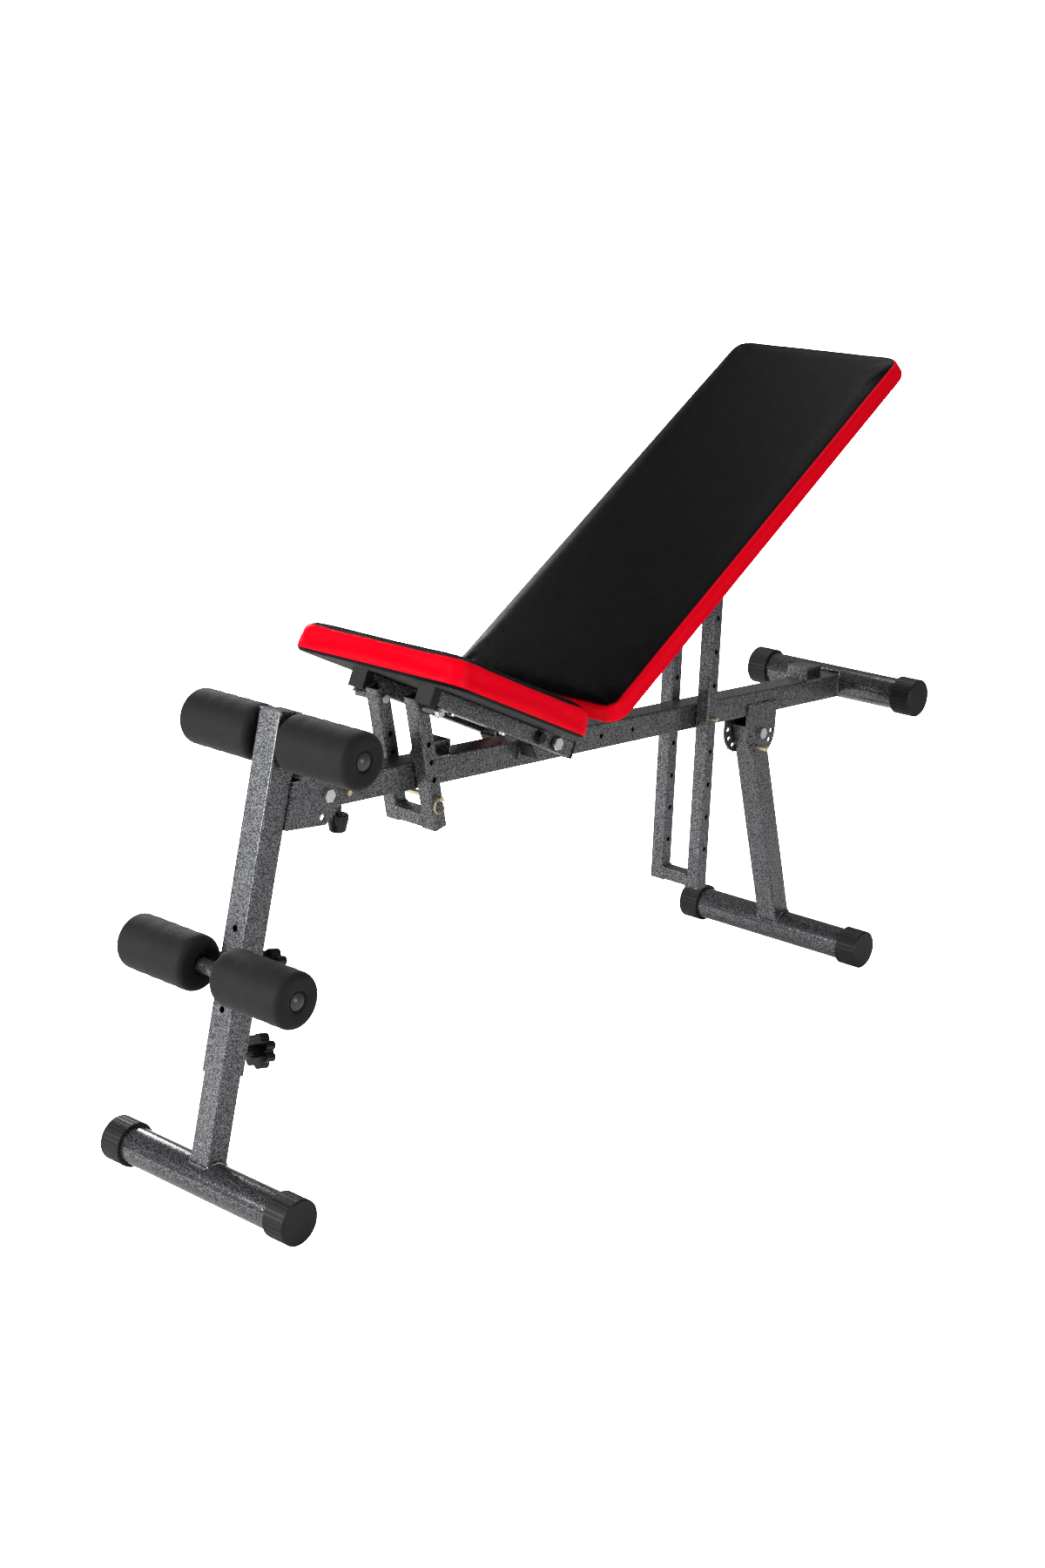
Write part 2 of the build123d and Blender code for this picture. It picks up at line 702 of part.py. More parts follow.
nodes = {
    # fixed frame
    "main_beam": [main_beam()],
    "rear_cross_tube": [head_tube * foot_tube(head_tube_half)],
    "rear_cross_caps": both(lambda s: head_tube * foot_cap(head_tube_half, s, 0.0)),
    "seat_rest": [seat_rest()],
    "back_stop": [back_stop()],
    "axle_plates": both(axle_plate),
    "pivot_axle": [axle * axle_bolt()],
    "axle_washers": both(lambda s: axle * axle_washer(*span(s, washer_start, axle_out))),
    "frame_nuts": [axle * axle_nut(), leg_pivot * pivot_nut(plate_out)],
    "leg_plates": both(leg_plate),
    "leg_pivot_bolt": [leg_pivot * pivot_bolt(plate_out)],
    "clamp_knob": [clamp_knob()],
    # front post
    "post_tube": [post_tube()],
    "post_cap": [post_cap()],
    "front_bracket": [front_bracket()],
    "front_pivot_bolt": [front_pivot * pivot_bolt(bracket_out)],
    "front_pivot_nut": [front_pivot * pivot_nut(bracket_out)],
    "height_boss": [height_boss()],
    "height_knob": [height_knob()],
    "upper_axle": [roller_axle(upper_axle_at, -upper_axle_back)],
    "lower_axle": [roller_axle(carriage_at, lower_axle_out)],
    "carriage": [carriage()],
    "carriage_bolt": [carriage_bolt()],
    "carriage_knob": [carriage_knob()],
    "roller_plugs": both(lambda s: roller_plug(upper_axle_at, -upper_axle_back, s))
    + both(lambda s: roller_plug(carriage_at, lower_axle_out, s)),
    "upper_roller_left": [roller(upper_axle_at, -upper_axle_back, -1)],
    "upper_roller_right": [roller(upper_axle_at, -upper_axle_back, 1)],
    "lower_roller_left": [roller(carriage_at, lower_axle_out, -1)],
    "lower_roller_right": [roller(carriage_at, lower_axle_out, 1)],
    "front_lock_pin": [front_tail, hanging_ring(front_ring)],
    "front_lock_tip": [front_tip],
    # telescoping front leg
    "inner_tube": [inner_tube()],
    "front_foot_tube": [front_foot * foot_tube(front_foot_half)],
    "front_foot_caps": both(lambda s: front_foot * foot_cap(front_foot_half, s)),
    # rear leg
    "rear_leg_tube": [rear_leg_tube()],
    "rear_foot_tube": [rear_foot * foot_tube(rear_foot_half)],
    "rear_foot_caps": both(lambda s: rear_foot * foot_cap(rear_foot_half, s)),
    "leg_lock_pin": [leg_shank, hanging_ring(leg_ring)],
    # seat
    "seat_pad": [seat * pad(
        seat_pad_front, seat_pad_back, seat_low, seat_thick, seat_front_corner)],
    "seat_board": [
        seat * drilled_board(
            seat_pad_front, seat_pad_back, seat_low, seat_front_corner, seat_screws)],
    "seat_rails": both(lambda s: seat * rail(
        seat_rail_front, seat_rail_back, s, seat_rail_y, 0, (-250.0, -120.0))),
    "seat_rail_plugs": seat_plugs(),
    "seat_sleeves": both(lambda s: seat * ladder_sleeve(s)),
    "seat_ladder_bolts": [
        seat * piece for s in (-1, 1) for piece in ladder_bolt(
            seat_ladder_at, seat_hinge_z, s, ladder_in - gap, rail_out)],
    "seat_screws": [seat * screw for screw in seat_screws],
    "seat_bolt_washers": both(rail_bolt) + both(rail_bolt_washer),
    "seat_uprights": both(lambda s: seat_ladder * upright(
        seat_ladder_low, seat_holes, s, seat_ladder_head, False)),
    "seat_rung": [seat_ladder * rung(seat_ladder_low)],
    "seat_lock_pin": [seat_shank, hanging_ring(seat_ring)],
    # backrest
    "back_pad": [back * pad(
        back_pad_start, back_pad_end, back_low, back_thick, pad_corner)],
    "back_board": [
        back * drilled_board(
            back_pad_start, back_pad_end, back_low, pad_corner, back_screws)],
    "back_rails": both(lambda s: back * rail(
        back_rail_start, back_rail_end, s, back_rail_y, back_rail_mid,
        (160.0, 420.0, 700.0))),
    "back_rail_plugs": back_plugs(),
    "back_ears": [back_ear(s, near) for s in (-1, 1) for near in (ear_in, ear_out)],
    "back_ladder_bolts": [
        back * piece for s in (-1, 1) for piece in ladder_bolt(
            back_ladder_at, -back_ladder_drop, s, ear_in, ear_out + plate_thick)],
    "back_screws": [back * screw for screw in back_screws],
    "back_uprights": both(lambda s: back_ladder * upright(
        back_ladder_low, back_holes, s, 0.0, True)),
    "back_rung": [back_ladder * rung(back_ladder_low)],
    "back_lock_pin": [back_tail, hanging_ring(back_ring)],
    "back_lock_tip": [back_tip],
}

os.makedirs("parts", exist_ok=True)
for name, solids in nodes.items():
    shape = solids[0] if len(solids) == 1 else Compound(children=solids)
    export_step(Pos(-middle, 0, 0) * shape, f"parts/{name}.step")
print(len(nodes), "nodes")
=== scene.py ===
"""Looks of the folding sit-up bench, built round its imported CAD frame."""

import json
import math

import bmesh
import bpy
from mathutils import Matrix, Vector

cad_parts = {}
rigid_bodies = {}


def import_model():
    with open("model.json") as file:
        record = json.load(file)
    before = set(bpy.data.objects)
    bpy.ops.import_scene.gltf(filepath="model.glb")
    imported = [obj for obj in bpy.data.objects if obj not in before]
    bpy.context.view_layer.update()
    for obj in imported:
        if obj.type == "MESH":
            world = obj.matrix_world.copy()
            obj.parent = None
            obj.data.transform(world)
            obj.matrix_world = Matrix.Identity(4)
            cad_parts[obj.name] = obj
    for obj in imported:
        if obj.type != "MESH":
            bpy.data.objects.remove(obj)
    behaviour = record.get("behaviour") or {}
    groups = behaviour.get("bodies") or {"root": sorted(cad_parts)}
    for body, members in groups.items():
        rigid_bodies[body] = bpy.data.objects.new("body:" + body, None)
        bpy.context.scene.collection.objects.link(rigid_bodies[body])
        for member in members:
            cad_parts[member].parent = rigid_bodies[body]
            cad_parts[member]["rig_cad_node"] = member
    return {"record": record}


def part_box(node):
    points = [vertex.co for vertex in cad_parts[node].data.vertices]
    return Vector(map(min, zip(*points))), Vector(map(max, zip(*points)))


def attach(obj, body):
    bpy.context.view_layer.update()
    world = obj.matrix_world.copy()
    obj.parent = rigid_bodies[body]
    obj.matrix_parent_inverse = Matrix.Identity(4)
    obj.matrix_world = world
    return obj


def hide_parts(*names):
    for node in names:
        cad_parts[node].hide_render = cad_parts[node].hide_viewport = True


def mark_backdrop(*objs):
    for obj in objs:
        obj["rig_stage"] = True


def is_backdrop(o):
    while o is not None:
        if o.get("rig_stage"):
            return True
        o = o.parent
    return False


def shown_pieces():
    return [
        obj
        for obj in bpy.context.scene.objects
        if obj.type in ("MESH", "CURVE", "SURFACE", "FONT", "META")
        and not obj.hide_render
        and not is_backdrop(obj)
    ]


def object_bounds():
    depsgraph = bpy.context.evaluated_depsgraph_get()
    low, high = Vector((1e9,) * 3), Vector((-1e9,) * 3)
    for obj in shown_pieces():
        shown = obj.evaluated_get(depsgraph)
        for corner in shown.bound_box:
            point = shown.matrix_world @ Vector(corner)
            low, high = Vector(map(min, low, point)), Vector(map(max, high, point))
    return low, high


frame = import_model()
CAD_LOW, CAD_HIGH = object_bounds()

bl_info = {
    "name": "Sit-up bench",
    "version": (1, 0, 0),
    "blender": (4, 5, 0),
    "location": "View3D > Sidebar > Bench",
    "description": "Upholstery, foam rollers, welds and finishes of a folding sit-up bench",
    "category": "Object",
}

JOINTS = {joint["name"]: joint for joint in frame["record"]["behaviour"]["joints"]}
AXLE = Vector(JOINTS["backrest_tilt"]["pos_m"])
SEAT_SLOPE = math.radians(-24.9)
BACK_ANGLE = math.radians(31.8)
BEAM_SLOPE = math.radians(-3.88)
POST_ANGLE = math.radians(76.58)
LEG_ANGLE = math.radians(-74.04)
SIDE_PUFF = 0.004  # how far a cushion swells past its board on each side


class BenchUpholstery(bpy.types.PropertyGroup):
    """Sizes and colours of the cushions and rollers."""
    top_colour: bpy.props.FloatVectorProperty(
        name="Top vinyl", description="Colour of the vinyl on top of the pads",
        subtype="COLOR", size=3, min=0, max=1, default=(0.0018, 0.0018, 0.0021))
    side_colour: bpy.props.FloatVectorProperty(
        name="Side vinyl", description="Colour of the vinyl round the sides of the pads",
        subtype="COLOR", size=3, min=0, max=1, default=(0.86, 0.0, 0.012))
    foam_colour: bpy.props.FloatVectorProperty(
        name="Roller foam", description="Colour of the closed-cell foam rollers",
        subtype="COLOR", size=3, min=0, max=1, default=(0.0045, 0.0047, 0.0052))
    pad_corner: bpy.props.FloatProperty(
        name="Pad corner", description="Radius of a pad's corners seen from above",
        unit="LENGTH", default=0.032, min=0.005, max=0.1)
    seat_front_corner: bpy.props.FloatProperty(
        name="Seat front corner", description="Radius of the seat's two front corners",
        unit="LENGTH", default=0.035, min=0.005, max=0.12)
    pad_edge: bpy.props.FloatProperty(
        name="Pad edge", description="Rounding along a pad's upper edge",
        unit="LENGTH", default=0.006, min=0.002, max=0.015)
    crown: bpy.props.FloatProperty(
        name="Crown", description="How far the foam may push the vinyl out",
        unit="LENGTH", default=0.0045, min=0.0, max=0.01)
    roller_edge: bpy.props.FloatProperty(
        name="Roller edge", description="Rounding at the ends of a foam roller",
        unit="LENGTH", default=0.011, min=0.002, max=0.02)


class BenchPaint(bpy.types.PropertyGroup):
    """Colours and bead sizes of the painted steel."""
    light_fleck: bpy.props.FloatVectorProperty(
        name="Enamel fleck", description="Colour of the bright flecks in the hammered enamel",
        subtype="COLOR", size=3, min=0, max=1, default=(0.44, 0.45, 0.47))
    dark_vein: bpy.props.FloatVectorProperty(
        name="Enamel vein", description="Colour of the dark veins in the hammered enamel",
        subtype="COLOR", size=3, min=0, max=1, default=(0.020, 0.021, 0.023))
    fleck_size: bpy.props.FloatProperty(
        name="Fleck size", description="Width of one hammered dimple",
        unit="LENGTH", default=0.0021, min=0.001, max=0.01)
    weld_bead: bpy.props.FloatProperty(
        name="Weld bead", description="Radius of a weld bead",
        unit="LENGTH", default=0.0028, min=0.001, max=0.006)


class BenchStudio(bpy.types.PropertyGroup):
    """Floor, lights and viewpoint."""
    eye: bpy.props.FloatVectorProperty(
        name="Viewpoint", description="Where the bench is looked at from",
        subtype="XYZ", unit="LENGTH", size=3, default=(-2.82475, -2.32427, 1.61343))
    heading: bpy.props.FloatProperty(
        name="Heading", description="Direction of view, from +X towards +Y",
        unit="ROTATION", default=math.radians(40.61))
    pitch: bpy.props.FloatProperty(
        name="Pitch", description="Tilt of the view above the horizon",
        unit="ROTATION", default=math.radians(-17.42))
    roll: bpy.props.FloatProperty(
        name="Roll", description="Roll of the view", unit="ROTATION",
        default=math.radians(1.19))
    lens: bpy.props.FloatProperty(
        name="Lens", description="Focal length in millimetres on a 36 mm long side",
        default=51.93, min=10, max=300)
    floor_colour: bpy.props.FloatVectorProperty(
        name="Floor", description="Colour of the floor sheet",
        subtype="COLOR", size=3, min=0, max=1, default=(0.88, 0.88, 0.88))


# Shared surface effects ------------------------------------------------------

def new_group(name, inputs, outputs):
    """A shader node group with float or colour sockets."""
    group = bpy.data.node_groups.new(name, "ShaderNodeTree")
    for label, kind, value in inputs:
        socket = group.interface.new_socket(label, in_out="INPUT", socket_type=kind)
        socket.default_value = value
    for label, kind in outputs:
        group.interface.new_socket(label, in_out="OUTPUT", socket_type=kind)
    return group, group.nodes.new("NodeGroupInput"), group.nodes.new("NodeGroupOutput")


def link(tree, *pairs):
    for out, into in pairs:
        tree.links.new(out, into)


def maths(tree, operation, a, b=None, clamp=False):
    """A Math node fed by sockets or numbers; returns its result."""
    node = tree.nodes.new("ShaderNodeMath")
    node.operation = operation
    node.use_clamp = clamp
    for slot, value in zip(node.inputs, (a, b)):
        if value is None:
            continue
        if isinstance(value, (int, float)):
            slot.default_value = value
        else:
            tree.links.new(value, slot)
    return node.outputs[0]


def mixed(tree, factor, a, b, blend="MIX"):
    """A colour Mix node; returns its result."""
    node = tree.nodes.new("ShaderNodeMix")
    node.data_type = "RGBA"
    node.blend_type = blend
    for slot, value in ((node.inputs[0], factor), (node.inputs[6], a), (node.inputs[7], b)):
        if isinstance(value, (int, float)):
            slot.default_value = value
        elif isinstance(value, (tuple, list)):
            slot.default_value = (*value[:3], 1.0)
        else:
            tree.links.new(value, slot)
    return node.outputs[2]


def ramp(tree, value, *stops):
    """A smooth value ramp through (position, value) stops."""
    node = tree.nodes.new("ShaderNodeValToRGB")
    ends = node.color_ramp.elements
    while len(ends) < len(stops):
        ends.new(0.5)
    for end, (position, level) in zip(ends, stops):
        end.position = position
        end.color = (level, level, level, 1)
    tree.links.new(value, node.inputs[0])
    return node.outputs[0]


def noise(tree, vector, scale, detail=3.0, rough=0.5):
    node = tree.nodes.new("ShaderNodeTexNoise")
    node.inputs["Scale"].default_value = scale
    node.inputs["Detail"].default_value = detail
    node.inputs["Roughness"].default_value = rough
    tree.links.new(vector, node.inputs["Vector"])
    return node.outputs["Fac"]


def object_coordinates(tree):
    return tree.nodes.new("ShaderNodeTexCoord").outputs["Object"]


def hammer_group():
    """Hammered enamel: dimples with bright floors and dark veins."""
    group, into, out = new_group(
        "hammered_enamel",
        [("Cells", "NodeSocketFloat", 240.0), ("Fleck", "NodeSocketColor", (0.3, 0.3, 0.3, 1)),
         ("Vein", "NodeSocketColor", (0.02, 0.02, 0.02, 1))],
        [("Colour", "NodeSocketColor"), ("Height", "NodeSocketFloat"),
         ("Sheen", "NodeSocketFloat")])
    where = object_coordinates(group)
    warp = group.nodes.new("ShaderNodeTexNoise")
    warp.inputs["Scale"].default_value = 320.0
    warp.inputs["Detail"].default_value = 2.0
    group.links.new(where, warp.inputs["Vector"])
    shift = group.nodes.new("ShaderNodeVectorMath")
    shift.operation = "MULTIPLY_ADD"
    group.links.new(warp.outputs["Color"], shift.inputs[0])
    shift.inputs[1].default_value = (0.0030, 0.0030, 0.0030)
    group.links.new(where, shift.inputs[2])
    cells = group.nodes.new("ShaderNodeTexVoronoi")
    cells.feature = "SMOOTH_F1"
    cells.inputs["Smoothness"].default_value = 0.35
    cells.inputs["Randomness"].default_value = 1.0
    group.links.new(shift.outputs[0], cells.inputs["Vector"])
    group.links.new(into.outputs["Cells"], cells.inputs["Scale"])
    distance = cells.outputs["Distance"]
    fleck = ramp(group, distance, (0.10, 1.0), (0.34, 0.40), (0.58, 0.0))
    patch = ramp(group, noise(group, where, 28.0, 3.0), (0.3, 0.75), (0.7, 1.0))
    speck = ramp(group, noise(group, where, 900.0, 2.0), (0.52, 0.0), (0.72, 1.0))
    amount = maths(group, "MULTIPLY", fleck, patch)
    amount = maths(group, "ADD", amount, maths(group, "MULTIPLY", speck, 0.22), clamp=True)
    colour = mixed(group, amount, (0, 0, 0), (0, 0, 0))
    node = colour.node
    link(group, (into.outputs["Vein"], node.inputs[6]), (into.outputs["Fleck"], node.inputs[7]),
         (colour, out.inputs["Colour"]),
         (maths(group, "SUBTRACT", 1.0, distance), out.inputs["Height"]),
         (amount, out.inputs["Sheen"]))
    return group


def grain_group():
    """Fine leather-like grain: pebbles with creases between them."""
    group, into, out = new_group(
        "vinyl_grain", [("Pebbles", "NodeSocketFloat", 700.0)],
        [("Height", "NodeSocketFloat"), ("Variation", "NodeSocketFloat")])
    where = object_coordinates(group)
    cells = group.nodes.new("ShaderNodeTexVoronoi")
    cells.feature = "DISTANCE_TO_EDGE"
    group.links.new(where, cells.inputs["Vector"])
    group.links.new(into.outputs["Pebbles"], cells.inputs["Scale"])
    creases = ramp(group, cells.outputs["Distance"], (0.0, 0.0), (0.22, 1.0))
    soft = noise(group, where, 60.0, 4.0)
    link(group, (creases, out.inputs["Height"]), (soft, out.inputs["Variation"]))
    return group


def dust_group():
    """Light handling marks and dust, gathered in soft patches."""
    group, into, out = new_group(
        "handling_dust", [("Amount", "NodeSocketFloat", 0.2)], [("Mask", "NodeSocketFloat")])
    where = object_coordinates(group)
    patches = ramp(group, noise(group, where, 9.0, 5.0, 0.6), (0.42, 0.0), (0.75, 1.0))
    specks = ramp(group, noise(group, where, 260.0, 3.0, 0.7), (0.5, 0.1), (0.8, 1.0))
    mask = maths(group, "MULTIPLY", maths(group, "MULTIPLY", patches, specks),
                 into.outputs["Amount"], clamp=True)
    link(group, (mask, out.inputs["Mask"]))
    return group


def placed(tree, name, **values):
    """A shared group placed in a material with its own values."""
    node = tree.nodes.new("ShaderNodeGroup")
    node.node_tree = bpy.data.node_groups[name]
    for label, value in values.items():
        node.inputs[label].default_value = value
    return node


def new_material(name, **constants):
    """A material with one Principled shader; returns material, tree and shader."""
    material = bpy.data.materials.new(name)
    material.use_nodes = True
    tree = material.node_tree
    shader = tree.nodes["Principled BSDF"]
    for label, value in constants.items():
        label = label.replace("_", " ")
        shader.inputs[label].default_value = (*value, 1.0) if isinstance(value, tuple) else value
    return material, tree, shader


def bumped(tree, shader, height, depth, strength=1.0):
    bump = tree.nodes.new("ShaderNodeBump")
    bump.inputs["Distance"].default_value = depth
    bump.inputs["Strength"].default_value = strength
    link(tree, (height, bump.inputs["Height"]), (bump.outputs[0], shader.inputs["Normal"]))


def hammered(name, paint, base_rough):
    material, tree, shader = new_material(name, Metallic=0.72, Coat_Weight=0.5,
                                          Coat_Roughness=0.10)
    enamel = placed(tree, "hammered_enamel", Cells=1.0 / paint.fleck_size,
                    Fleck=(*paint.light_fleck, 1), Vein=(*paint.dark_vein, 1))
    dust = placed(tree, "handling_dust", Amount=0.10)
    colour = mixed(tree, dust.outputs["Mask"], enamel.outputs["Colour"], (0.26, 0.26, 0.26))
    rough = maths(tree, "SUBTRACT", base_rough,
                  maths(tree, "MULTIPLY", enamel.outputs["Sheen"], 0.14))
    link(tree, (colour, shader.inputs["Base Color"]), (rough, shader.inputs["Roughness"]))
    bumped(tree, shader, enamel.outputs["Height"], 0.00022, 0.6)
    return material


def moulded(name, colour, rough, bump_depth, cells):
    """Moulded black plastic with a fine texture."""
    material, tree, shader = new_material(name, Specular_IOR_Level=0.35)
    where = object_coordinates(tree)
    fine = noise(tree, where, cells, 4.0, 0.6)
    dust = placed(tree, "handling_dust", Amount=0.05)
    tone = mixed(tree, ramp(tree, noise(tree, where, 40.0), (0.3, 0.0), (0.7, 1.0)),
                 tuple(c * 0.8 for c in colour), tuple(c * 1.25 for c in colour))
    colour_out = mixed(tree, dust.outputs["Mask"], tone, (0.12, 0.12, 0.12))
    rough_out = maths(tree, "ADD", rough - 0.05, maths(tree, "MULTIPLY", fine, 0.12))
    link(tree, (colour_out, shader.inputs["Base Color"]), (rough_out, shader.inputs["Roughness"]))
    bumped(tree, shader, fine, bump_depth, 0.6)
    return material


def plated(name, colour, rough):
    """Zinc plate with faint turning marks."""
    material, tree, shader = new_material(name, Metallic=1.0)
    where = object_coordinates(tree)
    cloud = noise(tree, where, 160.0, 4.0, 0.6)
    tone = mixed(tree, cloud, tuple(c * 0.78 for c in colour), tuple(min(1, c * 1.1) for c in colour))
    link(tree, (tone, shader.inputs["Base Color"]),
         (maths(tree, "ADD", rough, maths(tree, "MULTIPLY", cloud, 0.16)),
          shader.inputs["Roughness"]))
    bumped(tree, shader, noise(tree, where, 700.0, 2.0), 0.00005, 0.4)
    return material


def vinyl(name, upholstery):
    """Grained vinyl: top and underside in one colour, sides in the other."""
    material, tree, shader = new_material(name, Specular_IOR_Level=0.04)
    grain = placed(tree, "vinyl_grain", Pebbles=720.0)
    dust = placed(tree, "handling_dust", Amount=0.008)
    rise = tree.nodes.new("ShaderNodeAttribute")
    rise.attribute_name = "rise"
    height = rise.outputs["Fac"]
    above = ramp(tree, height, (0.075, 0.0), (0.095, 1.0))
    below = ramp(tree, height, (0.965, 1.0), (0.985, 0.0))
    side = maths(tree, "MULTIPLY", above, below)
    shade = maths(tree, "MULTIPLY", grain.outputs["Variation"], 0.35)
    top = mixed(tree, shade, tuple(upholstery.top_colour), (0.004, 0.004, 0.0045))
    edge = mixed(tree, shade, tuple(upholstery.side_colour), (0.72, 0.0, 0.010))
    both = mixed(tree, side, top, edge)
    seam = maths(tree, "ABSOLUTE", maths(tree, "SUBTRACT", height, 0.975))
    groove = ramp(tree, seam, (0.0, 0.0), (0.022, 1.0))
    dark = mixed(tree, groove, (0.004, 0.002, 0.002), both)
    final = mixed(tree, dust.outputs["Mask"], dark, (0.20, 0.20, 0.20))
    rough = maths(tree, "ADD", 0.36, maths(tree, "MULTIPLY", grain.outputs["Variation"], 0.18))
    link(tree, (final, shader.inputs["Base Color"]), (rough, shader.inputs["Roughness"]))
    level = maths(tree, "ADD", maths(tree, "MULTIPLY", grain.outputs["Height"], 0.10),
                  maths(tree, "MULTIPLY", groove, 1.0))
    bumped(tree, shader, level, 0.0008, 0.7)
    return material


def foam(name, upholstery):
    """Matte closed-cell foam with a faint skin texture."""
    material, tree, shader = new_material(name, Sheen_Weight=0.06, Sheen_Roughness=0.5,
                                          Specular_IOR_Level=0.25)
    where = object_coordinates(tree)
    cells = tree.nodes.new("ShaderNodeTexVoronoi")
    cells.inputs["Scale"].default_value = 1100.0
    tree.links.new(where, cells.inputs["Vector"])
    wide = noise(tree, where, 30.0, 5.0, 0.6)
    base = tuple(upholstery.foam_colour)
    tone = mixed(tree, wide, tuple(c * 0.75 for c in base), tuple(c * 1.6 for c in base))
    link(tree, (tone, shader.inputs["Base Color"]),
         (maths(tree, "ADD", 0.62, maths(tree, "MULTIPLY", wide, 0.2)),
          shader.inputs["Roughness"]))
    level = maths(tree, "ADD", maths(tree, "MULTIPLY", cells.outputs["Distance"], 0.25),
                  maths(tree, "MULTIPLY", wide, 1.0))
    bumped(tree, shader, level, 0.0009, 0.7)
    return material


def backing(name):
    """Black woven cover stapled under the boards."""
    material, tree, shader = new_material(name)
    where = object_coordinates(tree)
    weave = tree.nodes.new("ShaderNodeTexWave")
    weave.inputs["Scale"].default_value = 160.0
    weave.inputs["Distortion"].default_value = 0.6
    tree.links.new(where, weave.inputs["Vector"])
    tone = mixed(tree, weave.outputs["Fac"], (0.010, 0.010, 0.011), (0.030, 0.030, 0.032))
    link(tree, (tone, shader.inputs["Base Color"]))
    link(tree, (maths(tree, "ADD", 0.7, maths(tree, "MULTIPLY", weave.outputs["Fac"], 0.2)),
                shader.inputs["Roughness"]))
    bumped(tree, shader, weave.outputs["Fac"], 0.0003, 0.5)
    return material


# Mesh helpers ----------------------------------------------------------------

def lying(origin, angle):
    """Placement whose X axis climbs at an angle from +X."""
    return Matrix.Translation(origin) @ Matrix.Rotation(-angle, 4, "Y")


def finished(name, mesh_builder, material, body, smooth=True, nodes=()):
    """Turn a bmesh into an object at the origin that rides on a body."""
    mesh = bpy.data.meshes.new(name)
    bmesh.ops.recalc_face_normals(mesh_builder, faces=mesh_builder.faces)
    mesh_builder.to_mesh(mesh)
    mesh_builder.free()
    for face in mesh.polygons:
        face.use_smooth = smooth
    piece = bpy.data.objects.new(name, mesh)
    bpy.context.scene.collection.objects.link(piece)
    mesh.materials.append(material)
    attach(piece, body)
    if nodes:
        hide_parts(*nodes)
    return piece


def rounded_plan(length, width, radius, steps=8, front_radius=None):
    """Corner-rounded rectangle, counter-clockwise, centred on the origin; front is -X."""
    points = []
    for quarter, (cx, cy) in enumerate(((1, 1), (-1, 1), (-1, -1), (1, -1))):
        bend = radius if cx > 0 or front_radius is None else front_radius
        for i in range(steps + 1):
            turn = math.radians(90 * quarter + 90 * i / steps)
            points.append(Vector((
                cx * (length / 2 - bend) + bend * math.cos(turn),
                cy * (width / 2 - bend) + bend * math.sin(turn), 0)))
    return points


def swept(work, path, radius, closed, ripple=0.0, pitch=0.004, sides=8):
    """Sweep a circle along a path, with its radius rippling like a weld bead."""
    rings = []
    total = len(path)
    travelled = 0.0
    for i, point in enumerate(path):
        after = path[(i + 1) % total] if closed or i + 1 < total else point
        before = path[i - 1] if closed or i > 0 else point
        along = (after - before).normalized()
        side = along.cross(Vector((0.12, 0.35, 0.93))).normalized()
        up = side.cross(along)
        if i:
            travelled += (point - path[i - 1]).length
        swell = radius * (1 + ripple * math.sin(2 * math.pi * travelled / pitch))
        rings.append([work.verts.new(point + swell * (
            math.cos(2 * math.pi * k / sides) * side + math.sin(2 * math.pi * k / sides) * up))
            for k in range(sides)])
    count = total if closed else total - 1
    for i in range(count):
        near, far = rings[i], rings[(i + 1) % total]
        for k in range(sides):
            work.faces.new((near[k], near[(k + 1) % sides], far[(k + 1) % sides], far[k]))
    if not closed:
        work.faces.new(rings[0])
        work.faces.new(list(reversed(rings[-1])))


def dense(path, spacing, closed=True):
    """Resample a path at an even spacing."""
    points = list(path) + ([path[0]] if closed else [])
    result = []
    carry = 0.0
    for a, b in zip(points, points[1:]):
        length = (b - a).length
        place = carry
        while place < length:
            result.append(a.lerp(b, place / length))
            place += spacing
        carry = place - length
    return result


def saddle(base, angle, half, tube_radius, corner=0.003):
    """Where a square tube leaving a round cross tube meets its surface."""
    outline = rounded_plan(2 * half, 2 * half, corner, 3)
    space = lying(base, angle)
    path = []
    for point in dense(outline, 0.0011):
        reach = math.sqrt(max(tube_radius ** 2 - point.x ** 2, 0))
        path.append(space @ Vector((reach + 0.0006, point.y, point.x)))
    return path


def turned(work, profile, space, steps=72):
    """Lathe a closed (distance along, radius) profile about the Y axis of a placement."""
    made = [work.verts.new(space @ Vector((radius, along, 0))) for along, radius in profile]
    edges = [work.edges.new((a, b)) for a, b in zip(made, made[1:] + made[:1])]
    bmesh.ops.spin(work, geom=made + edges, cent=space.translation,
                   axis=space.to_3x3() @ Vector((0, 1, 0)), angle=2 * math.pi, steps=steps,
                   use_merge=True)


def arc(centre_along, centre_radius, radius, start, end, steps=7):
    """Points of an arc in a lathe profile, by angle in degrees."""
    return [(centre_along + radius * math.cos(math.radians(start + (end - start) * i / steps)),
             centre_radius + radius * math.sin(math.radians(start + (end - start) * i / steps)))
            for i in range(steps + 1)]


# Upholstery ------------------------------------------------------------------

